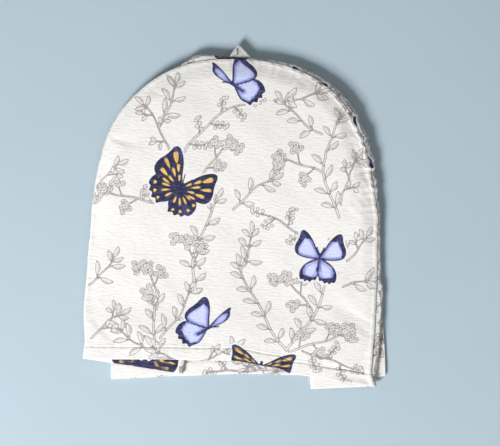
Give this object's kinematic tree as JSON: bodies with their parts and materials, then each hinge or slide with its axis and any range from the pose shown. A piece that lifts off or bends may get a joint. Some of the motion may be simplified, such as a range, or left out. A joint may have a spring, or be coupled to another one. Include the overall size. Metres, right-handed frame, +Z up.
{
  "type": "dust cover",
  "caption": "Arched cloth dust cover for a kitchen appliance, lying flat with its side strip folded inwards between front and back",
  "frame": {"origin": "under the middle of the whole cover, on the surface it lies on", "axes": "+X to the right along the hem, +Y from the hem to the top of the arch, +Z up"},
  "size_m": [0.379, 0.4234, 0.023],
  "materials": {
    "front_cloth": "off-white slub canvas, printed with sprigs and butterflies",
    "gusset_cloth": "off-white slub canvas, printed on its outer side",
    "back_cloth": "off-white slub canvas, printed on its outer side",
    "tab_tape": "narrow white ribbed tape"
  },
  "bodies": {
    "root": {"front_panel": "front_cloth", "gusset": "gusset_cloth", "back_panel": "back_cloth", "loop_tab": "tab_tape"}
  },
  "joints": []
}
